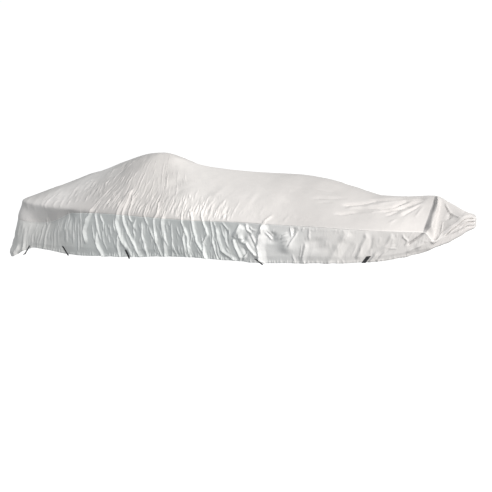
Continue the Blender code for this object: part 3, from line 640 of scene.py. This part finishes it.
def placed(name, data, at=(0, 0, 0), facing=None):
    """A new object in the scene; facing is where its own Z axis points."""
    thing = bpy.data.objects.new(name, data)
    scene.collection.objects.link(thing)
    thing.location = at
    if facing is not None:
        thing.rotation_mode = "QUATERNION"
        thing.rotation_quaternion = facing.to_track_quat("Z", "Y")
    return thing


def sheet(name, points, places, flip=False):
    """A grid of points as a mesh of squares, with its places on the cloth as a UV map."""
    rows, count = points.shape[:2]
    at = np.arange(rows * count).reshape(rows, count)
    faces = np.stack((at[:-1, :-1], at[:-1, 1:], at[1:, 1:], at[1:, :-1]), -1).reshape(-1, 4)
    if flip:
        faces = faces[:, ::-1]
    mesh = bpy.data.meshes.new(name)
    mesh.vertices.add(rows * count)
    mesh.vertices.foreach_set("co", points.astype(np.float32).ravel())
    mesh.loops.add(faces.size)
    mesh.loops.foreach_set("vertex_index", faces.astype(np.int32).ravel())
    mesh.polygons.add(len(faces))
    mesh.polygons.foreach_set("loop_start", np.arange(0, faces.size, 4, dtype=np.int32))
    cloth_map = mesh.uv_layers.new(name="cloth_map")
    corners = places.reshape(-1, 2)[faces.ravel()].astype(np.float32)
    cloth_map.uv.foreach_set("vector", corners.ravel())
    mesh.update(calc_edges=True)
    mesh.validate()
    mesh.shade_smooth()
    return placed(name, mesh)


def weld(piece):
    """Joins points that lie on each other, as along the centreline at the stern and bow."""
    work = bmesh.new()
    work.from_mesh(piece.data)
    bmesh.ops.remove_doubles(work, verts=work.verts, dist=0.00001)
    work.to_mesh(piece.data)
    work.free()


def thicken(piece, thickness, offset=-1):
    """Gives a sheet its thickness, inwards for -1 and outwards for 1."""
    solid = piece.modifiers.new("thickness", "SOLIDIFY")
    solid.thickness, solid.offset = thickness, offset
    solid.use_even_offset = False
    return piece


def flat_area(points):
    """Half the cross product of the diagonals of every square, added up."""
    one, other = points[1:, 1:] - points[:-1, :-1], points[1:, :-1] - points[:-1, 1:]
    return float(np.linalg.norm(np.cross(one, other), axis=-1).sum() / 2)


# %% [markdown]
# ## The skirts
#
# Each skirt is one long panel, from the middle of the stern to the tip of the bow, cut longer
# than the edge it is sewn to and gathered in. It hangs freely, and an elastic cord in the hem
# pulls it under the gunwale. We build it as one grid, so its folds run unbroken to the hem.

# %% Skirts
SKIRT_ROWS, CLOSER = 45, 1.06  # above 1, the rows lie closer towards the seam
panels = {}
GRIDS = (
    # side, and its stretches of the edge: where each ends, and the spacing of its columns
    (-1, "starboard", ((0.90, 0.0095), (1.70, 0.0075), (4.30, 0.0048), (5.30, 0.0078), (6, 0.009))),
    (1, "port", ((1.70, 0.013), (4.30, 0.0085), (6, 0.012))))
for side, label, stretches in GRIDS:
    line = spaced(PARTED, HALF_LENGTH - PARTED, stretches)
    depth = hem_drop(line)
    share = np.linspace(0, 1, SKIRT_ROWS)[:, None]
    top = station("seam", line) + 2 * PARTED
    drop = np.concatenate((top + (depth - HEM_CHANNEL - top) * share ** CLOSER,
                           depth - HEM_CHANNEL * np.array([0.8, 0.5, 0.2, 0.05, 0.0])[:, None]))
    along = np.broadcast_to(line, drop.shape)
    points = cloth(side, along, drop)
    piece = sheet(f"skirt_{label}_cloth", points, on_cloth(along, drop), flip=side < 0)
    panels[f"skirt_{label}"] = thicken(piece, CLOTH)
    print(label, "skirt:", drop.shape, "grid, folded", round(flat_area(points), 2), "m2, unfolded",
          round(flat_area(unfolded(along, drop)), 2))

# %% [markdown]
# ## The top
#
# The aft panel is dragged up over the windscreen's peak and down to the stern, and the fore
# panel covers the deck to the bow. The makers join them by a curved cross seam at the peak,
# because no flat cloth lies over both slopes. Both sides of the boat are one panel, so the
# grid runs from the starboard seam over the spine to the port seam.

# %% Top panels
TOP_ROWS, CLOSER = 62, 1.35
for label, first, last, stretches in (
        ("aft", 0.0, SPLIT - PARTED, ((0.90, 0.016), (1.35, 0.010), (3, 0.0054))),
        ("fore", SPLIT + PARTED, HALF_LENGTH, ((3.70, 0.0058), (5.20, 0.0135), (6, 0.0085)))):
    line = spaced(first, last, stretches)
    total = station("seam", line) + top_length(line)
    share = (np.arange(TOP_ROWS + 1) / TOP_ROWS)[:, None] ** CLOSER
    drop = station("seam", line) - total * share
    along = np.broadcast_to(line, drop.shape)
    starboard, port = cloth(-1, along, drop), cloth(1, along, drop)
    starboard[-1, :, 1] = 0
    starboard[-1, :, 2] = port[-1, :, 2] = (starboard[-1, :, 2] + port[-1, :, 2]) / 2
    points = np.concatenate((starboard, port[-2::-1]))
    places = on_cloth(along, drop)
    places = np.concatenate((places, places[-2::-1]))
    piece = sheet(f"top_{label}_cloth", points, places)
    weld(piece)
    panels[f"top_{label}"] = thicken(piece, CLOTH)
    print(label, "top:", points.shape[:2], "grid, folded", round(flat_area(points), 2), "m2")

# %% [markdown]
# ## Tie-downs
#
# A tie-down is a short piece of webbing sewn flat on the skirt, with a tail that hangs below
# the hem. It is a strip carried along a line on the cloth. A real strap is a little crowned
# across, and its tail curls away from the boat.

# %% Webbing
STRAP, OFF, CROWNED, CURL = 0.0016, 0.0008, 0.0005, 0.12  # one layer's thickness; its lift
ties = []
for side, label in ((-1, "starboard"), (1, "port")):
    for tie in TIES:
        down = np.linspace(0, 1, 34)[:, None]
        across = np.linspace(-0.5, 0.5, 9)[None, :]
        middle = tie["top"] + (tie["foot"] - tie["top"]) * down
        along = middle + across * tie["width"]
        depth = hem_drop(along)
        reach = (tie["above"] + tie["below"]) * down
        drop = depth - tie["above"] + reach
        spot = cloth(side, along, np.minimum(drop, depth - 0.001))
        tail = np.maximum(drop - depth + 0.001, 0)
        out = outwards(middle + 0 * across) * (1, side, 1)
        lift = OFF + CROWNED * (1 - 4 * across ** 2) + tail * CURL
        spot += out * lift[..., None]
        spot[..., 2] -= tail
        places = np.stack(np.broadcast_arrays(across * tie["width"], reach), -1)
        strip = sheet(f"{tie['name']}_{label}_webbing", spot, places, flip=side < 0)
        ties.append((f"{tie['name']}_{label}", thicken(strip, STRAP * tie["layers"], 1)))
print(len(ties), "tie-downs")


# %% [markdown]
# ## Writing finishes as sums
#
# A finish is a small program of shader nodes. Written as a list of nodes and links it is hard
# to read, so a `Value` wraps a node's output and Python's own operators add the Math nodes.
# Colours can't go through Math nodes, which would turn them grey, so they have `mixed`.

# %% A socket that does arithmetic
class Value:
    """An output of a node; + - * / with numbers or other Values adds a Math node."""

    def __init__(self, nodes, socket):
        self.nodes, self.socket = nodes, socket

    def math(self, operation, *others):
        """A Math node whose first input is this value."""
        return self.nodes.node("Math", {"operation": operation}, (self, *others))

    def __add__(self, other):
        return self.math("ADD", other)

    def __sub__(self, other):
        return self.math("SUBTRACT", other)

    def __mul__(self, other):
        return self.math("MULTIPLY", other)

    def __truediv__(self, other):
        return self.math("DIVIDE", other)

    def __rsub__(self, other):
        return self.nodes.node("Math", {"operation": "SUBTRACT"}, (other, self))

    __radd__, __rmul__ = __add__, __mul__

    def between(self, low, high):
        """0 at low, 1 at high, with a smooth S between."""
        return self.nodes.node("MapRange", {"interpolation_type": "SMOOTHSTEP"},
                               (self, low, high, 0.0, 1.0))

    def within(self, low, full, ebbing, high):
        """0 up to low, 1 from full to ebbing, and 0 again from high on."""
        return self.between(low, full) * (1 - self.between(ebbing, high))

    def band(self, reach):
        """1 where the value is 0, falling straight to 0 at reach on both sides."""
        return (1 - (self / reach).math("ABSOLUTE")).math("MAXIMUM", 0.0)


class Nodes:
    """A tree of nodes being written; node is the one way to add a node to it."""

    def __init__(self, tree):
        self.tree = tree

    def node(self, kind, settings=None, inputs=(), output=0):
        """Adds a node: its settings first, then its sockets by place or by name."""
        node = self.tree.nodes.new("ShaderNode" + kind)
        for key, setting in (settings or {}).items():
            setattr(node, key, setting)
        self.fill(node, inputs)
        return Value(self, node.outputs[output])

    def fill(self, node, inputs):
        """Links a Value to each socket named, or sets a number or colour on it."""
        for key, given in inputs.items() if isinstance(inputs, dict) else enumerate(inputs):
            if isinstance(given, Value):
                self.tree.links.new(given.socket, node.inputs[key])
            else:
                node.inputs[key].default_value = given


class Finish(Nodes):
    """A material being written on its shader."""

    def __init__(self, name, where):
        self.material = bpy.data.materials.new(name)
        self.material.use_nodes = True
        super().__init__(self.material.node_tree)
        self.shader = self.tree.nodes["Principled BSDF"]
        print("finish:", name, "for", where)

    def mixed(self, factor, one, other):
        """A colour between two, by a factor."""
        return self.node("Mix", {"data_type": "RGBA"}, {0: factor, 6: one, 7: other}, 2)

    def noise(self, place, scale, detail, roughness=0.55):
        """Blender's noise at some places, from 0 to 1."""
        return self.node("TexNoise", None, {
            "Vector": place, "Scale": scale, "Detail": detail, "Roughness": roughness})

    def bump(self, strength, height):
        """Bends the light as if the surface stood out by height, in metres."""
        return self.node("Bump", None, {"Strength": strength, "Distance": 1.0, "Height": height})

    def lengths(self):
        """The place on the cloth by its own map, and its two lengths one by one."""
        place = self.node("UVMap", {"uv_map": "cloth_map"})
        first = self.node("SeparateXYZ", None, (place,))
        return place, first, Value(self, first.socket.node.outputs[1])


# %% [markdown]
# ## Coated cloth
#
# The cloth is a plain weave of polyester yarn with a coating on its back, which leaves a soft
# gloss and lets fine creases stay in it from the bag it was packed in. So the finish has a
# weave of about a millimetre, a crinkle of one to three centimetres that bends the light, a
# patchy tone and gloss, and rows of stitches beside each seam. Light and shade are painted
# into its colour as well: a tone that grows lighter and darker along the boat, painted shade
# towards the spine, over the transom and in the crinkle's hollows, a painted paler quarter, a
# painted shadow in a pocket behind the bow's rib, and a painted highlight along the seam forward.

# %% Painted light and shade on the cloth
# colours that stand in for light and shade: painted shade towards the spine and over the transom, a
# painted paler patch on the quarter, and a painted shadow behind the bow's rib
PAINTED_SHADE, PAINTED_LIGHT_PATCH, PAINTED_SHADOW = (0.42, 0.41, 0.40, 1), (0.95, 0.93, 0.91, 1), (0.16, 0.16, 0.17, 1)
# a grey for the random paler and darker tone, and a grey for the weave's pattern and for painted
# shade in the crinkle's hollows
FADED, WEAVE_AND_PAINTED_SHADE = (0.45, 0.45, 0.45, 1), (0.5, 0.5, 0.5, 1)
# stitch thread, and the colour of a painted highlight along the seam forward
THREAD, PAINTED_HIGHLIGHT = (0.80, 0.79, 0.77, 1), (1.0, 0.98, 0.96, 1)
RIB, RIB_LEAN = 5.437, 0.065  # where the bow's rib meets the seam, and its lean going up
POCKET, POCKET_FALL = 5.428, 0.82  # where the pocket crosses the seam, and its slope below


def painted_light_on_top(along, below, crown):
    """Shares and colours of painted light and shade on the top: painted shade towards the spine
    and over the transom, a painted paler quarter, a painted shadow behind the bow's rib, and a
    painted highlight just above the seam forward."""
    up = 0 - below
    transom = 1 - along.between(0.90, 1.25)
    # painted light: a paler patch on the quarter of the top
    quarter = along.within(1.00, 1.15, 1.70, 2.20)
    behind = RIB + up * RIB_LEAN - along
    # painted shadow in the pocket behind the bow's rib
    pocket = behind.within(-0.002, 0.006, 0.022, 0.034) * up.within(-0.010, 0.020, 0.22, 0.40)
    # painted highlight: a pale line just above the seam, from the middle of the boat forward
    seam_highlight = (up - 0.006).band(0.008) * along.between(3.70, 4.00)
    # painted shade towards the spine and over the transom
    return ((up.between(0.05, 0.80) * crown, PAINTED_SHADE),
            (transom * up.between(0.08, 0.32) * 0.52, PAINTED_SHADE),
            (quarter * up.between(0.20, 0.55) * 0.18, PAINTED_LIGHT_PATCH),
            (pocket * 0.55, PAINTED_SHADOW), (seam_highlight * 0.5, PAINTED_HIGHLIGHT))


def painted_shade_on_skirt(along, below):
    """The same for the skirt: the painted shadow of the pocket runs on under the seam, slanting aft
    and down.
    """
    # painted shadow where the pocket runs on over the skirt
    off = (below + 0.010 - (POCKET - along) * POCKET_FALL).math("ABSOLUTE")
    pocket = (1 - off.between(0.004, 0.016)) * along.within(5.23, 5.34, 5.425, 5.440)
    return ((pocket * 0.45, PAINTED_SHADOW),)


# %% Cloth finish
YARNS = 2 * math.pi / 0.0022  # the weave repeats every 2.2 mm, two yarns
STITCH, STITCH_WIDTH = 0.006, 0.0011  # from one stitch to the next; half a stitch's width
FALLS = (1.0, 0.42, 1.0)  # the crinkle is longer down the cloth than across it


def cloth_finish(name, where, tones, crown, rough, thread):
    """tones: where along the edge, and red, green and blue there, the cloth's tone with painted
    light and shade along the boat; crown: how much painted shade darkens the top towards the
    spine; thread: how far below the seam each row of stitches lies."""
    finish = Finish(name, where)
    place, along, below = finish.lengths()
    solid = finish.node("TexCoord", output=3)  # object coordinates
    # weave: two crossed rows of yarn, one over the other; crinkle: ridged noise
    weave = (along * YARNS).math("SINE") * (below * YARNS).math("SINE") * 0.5 + 0.5
    stretched = finish.node("VectorMath", {"operation": "MULTIPLY"}, (place, FALLS))
    crinkle = 1 - ((finish.noise(stretched, 30.0, 4.0, 0.6) - 0.5) * 2).math("ABSOLUTE")
    fine = finish.noise(solid, 120.0, 3.0, 0.6)
    # stitches: dashes of 4 mm in each row
    stitch = 0.0
    for level in thread:
        stitch = (below - level).band(STITCH_WIDTH) + stitch
    stitch = stitch * (along / STITCH).math("FRACT").within(0.05, 0.15, 0.70, 0.80)
    # colour: the tone along the boat, with painted light and shade in it, clouded by a broad and a
    # finer noise, and then the painted light and shade of each panel
    patch = finish.noise(solid, 3.2, 4.0, 0.6)
    cloud = finish.noise(solid, 17.0, 3.0, 0.55)
    drift = along + (patch - 0.5) * 0.5
    last, *colour = tones[0]
    colour = (*colour, 1)
    for at, *tone in tones[1:]:
        colour = finish.mixed(drift.between(last, at), colour, (*tone, 1))
        last = at
    shade = (patch * 0.6 + cloud * 0.4).between(0.34, 0.66)
    painted_tones = painted_light_on_top(along, below, crown) if crown else painted_shade_on_skirt(along, below)
    # mixed in: a random paler and darker tone, the painted light and shade of each panel, painted
    # shade in the crinkle's hollows, the weave's pattern and the stitches
    for share, tone in (((1 - shade) * 0.10, FADED), *painted_tones,
                        ((1 - crinkle).between(0.30, 0.90) * 0.22, WEAVE_AND_PAINTED_SHADE),
                        (weave * 0.04, WEAVE_AND_PAINTED_SHADE), (stitch * 0.4, THREAD)):
        colour = finish.mixed(share, colour, tone)
    gloss = (cloud - 0.5) * 0.16 + (fine - 0.5) * 0.10 + rough
    height = weave * 0.00010 + crinkle * 0.0018 + fine * 0.00035 + stitch * 0.0004
    finish.fill(finish.shader, {
        "Base Color": colour, "Roughness": gloss, "Normal": finish.bump(0.85, height),
        "Specular IOR Level": 0.20, "Sheen Weight": 0.03, "Sheen Roughness": 0.4})
    return finish.material


# %% The two cloths
# the cloth's own colour at places along the edge, made lighter and darker along the boat as painted
# light and shade
TOP_TONE_AND_PAINTED_LIGHT = (
    (0.9, 0.85, 0.825, 0.814), (2.1, 0.66, 0.634, 0.620), (2.6, 0.69, 0.662, 0.643),
    (3.2, 0.92, 0.885, 0.860), (3.6, 0.87, 0.835, 0.813), (4.3, 0.635, 0.611, 0.597),
    (4.8, 0.645, 0.620, 0.606), (5.2, 0.69, 0.663, 0.647), (5.6, 0.56, 0.541, 0.531))
SKIRT_TONE_AND_PAINTED_LIGHT = (
    (0.85, 0.86, 0.853, 0.84), (1.1, 0.68, 0.68, 0.67), (2.0, 0.79, 0.815, 0.81),
    (3.4, 0.76, 0.785, 0.78), (3.9, 0.86, 0.86, 0.855), (4.7, 0.81, 0.79, 0.775),
    (5.2, 0.65, 0.633, 0.622), (5.6, 0.59, 0.57, 0.56))
top_finish = cloth_finish("top_cloth_finish", "the top panels", TOP_TONE_AND_PAINTED_LIGHT, 0.14, 0.68,
                          (-0.003, -0.010))
skirt_finish = cloth_finish("skirt_cloth_finish", "the skirts", SKIRT_TONE_AND_PAINTED_LIGHT, 0.0, 0.60, (0.004,))


# %% [markdown]
# ## Webbing
#
# Webbing is woven much coarser than cloth, with ribs across it. Two rows of lighter stitches
# show where it is sewn down.

# %% Webbing finish
RIBS, YARN_ROWS = 2 * math.pi / 0.0024, 2 * math.pi / 0.0019  # 2.4 and 1.9 mm apart
BLACK, GREY_BLACK = (0.012, 0.013, 0.015, 1), (0.050, 0.052, 0.056, 1)
STRAP_THREAD = (0.14, 0.14, 0.145, 1)


def webbing_finish():
    """Ribs across the strap, yarns along it between them, and two rows of stitches where the
    strap lies on the skirt."""
    finish = Finish("webbing_finish", "the tie-downs")
    place, across, down = finish.lengths()
    ribs = (down * RIBS).math("SINE") * 0.5 + 0.5
    yarns = ((across + (ribs - 0.5) * 0.0006) * YARN_ROWS).math("SINE") * 0.5 + 0.5
    weave = ribs * 0.6 + yarns * 0.4
    fuzz = finish.noise(place, 900.0, 2.0)
    sewn = (down / 0.004).math("FRACT").between(0.3, 0.4)
    line = (across.math("ABSOLUTE") - 0.0055).band(0.0006)
    thread = line * sewn * (1 - down.between(0.020, 0.022))
    colour = finish.mixed(weave * 0.6 + fuzz * 0.4, BLACK, GREY_BLACK)
    colour = finish.mixed(thread, colour, STRAP_THREAD)
    height = weave * 0.0003 + thread * 0.0002
    finish.fill(finish.shader, {"Base Color": colour, "Roughness": 0.62 + fuzz * 0.2,
                                "Normal": finish.bump(0.7, height)})
    return finish.material


strap_finish = webbing_finish()

# %% [markdown]
# ## Putting the pieces on the frame
#
# Each visible panel stands for one solid of the frame and moves with it.

# %% Riding and replacing
for node, piece in panels.items():
    is_top = node.startswith("top")
    piece.data.materials.append(top_finish if is_top else skirt_finish)
    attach(piece, "root")
    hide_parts(node)
for node, piece in ties:
    piece.data.materials.append(strap_finish)
    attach(piece, "root")
    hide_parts(node)
print(len(panels) + len(ties), "pieces ride on the frame")

# %% [markdown]
# ## Studio
#
# Pale floor, white surroundings, one broad soft lamp low ahead of the bow and weak light from
# everywhere else. The lamp strikes every crest of the starboard skirt on its bow side and
# makes the stern the darkest end. It casts no shadows, as if the studio's white walls filled
# them in, so the cloth between two crests stays evenly lit.

# %% Floor
FLOOR, WIDE_FLOOR = -1.38, 60.0  # its height, and half its width
floor_mesh = bpy.data.meshes.new("studio_floor")
floor_mesh.from_pydata([(x * WIDE_FLOOR, y * WIDE_FLOOR, FLOOR)
                        for x, y in ((-1, -1), (1, -1), (1, 1), (-1, 1))], [], [(0, 1, 2, 3)])
floor = placed("studio_floor", floor_mesh)
paint = Finish("floor_paint", "the studio floor")
paint.fill(paint.shader, {"Base Color": (0.36, 0.36, 0.36, 1), "Roughness": 0.95,
                          "Emission Color": (1, 1, 1, 1), "Emission Strength": 0.80})
floor_mesh.materials.append(paint.material)
floor.visible_diffuse = floor.visible_glossy = floor.visible_shadow = False

# %% Room and lamp
# the room is brighter overhead and a little towards the bow, as 0.43 plus direction times
# slope, and the background that the camera sees is an even 1.05
world = scene.world or bpy.data.worlds.new("studio")
scene.world = world
world.use_nodes = True
room = Nodes(world.node_tree)
heading, slope = room.node("TexCoord"), (0.03, 0.0, 0.22)
level = room.node("VectorMath", {"operation": "DOT_PRODUCT"}, (heading, slope), 1)
by_camera = room.node("LightPath")  # its first output is 1 for what the camera sees
shown = room.node("Mix", None, {0: by_camera, 2: level + 0.43, 3: 1.05})
room.fill(room.tree.nodes["Background"], {"Color": (0.975, 1.0, 1.01, 1), "Strength": shown})

lamp = bpy.data.lights.new("soft_key", "AREA")
lamp.shape, lamp.size, lamp.energy = "DISK", 6.0, 3980.0
lamp.color, lamp.use_shadow = (1.0, 0.972, 0.945), False
towards = Vector((0.90, -0.22, 0.38)).normalized()
key = placed("soft_key", lamp, towards * 20.0, towards)
print("lamp", round(key.location.length), "m away,", lamp.energy, "W")

# %% Camera
# AZIMUTH is from the starboard beam towards the bow. In points of a view that is VIEW wide,
# FOCAL is the focal length, and ORIGIN is where the lens's axis falls, from left and top
AZIMUTH, ELEVATION, DISTANCE = math.radians(28), math.radians(8.5), 13.0
VIEW, FOCAL, ORIGIN, FILM = 492, 1233.0, (251.0, 205.2), 36.0
back = Vector((math.sin(AZIMUTH) * math.cos(ELEVATION),
               -math.cos(AZIMUTH) * math.cos(ELEVATION), math.sin(ELEVATION)))
lens = bpy.data.cameras.new("camera")
lens.sensor_fit, lens.sensor_width, lens.lens = "HORIZONTAL", FILM, FOCAL / VIEW * FILM
lens.shift_x, lens.shift_y = ((VIEW / 2 - ORIGIN[0]) / VIEW,
                              (ORIGIN[1] - VIEW / 2) / VIEW)
camera = placed("camera", lens, back * DISTANCE + Vector((0, 0, -CREST)), back)
scene.camera = camera
scene.view_settings.view_transform = "Standard"
print("lens", round(lens.lens, 1), "mm")
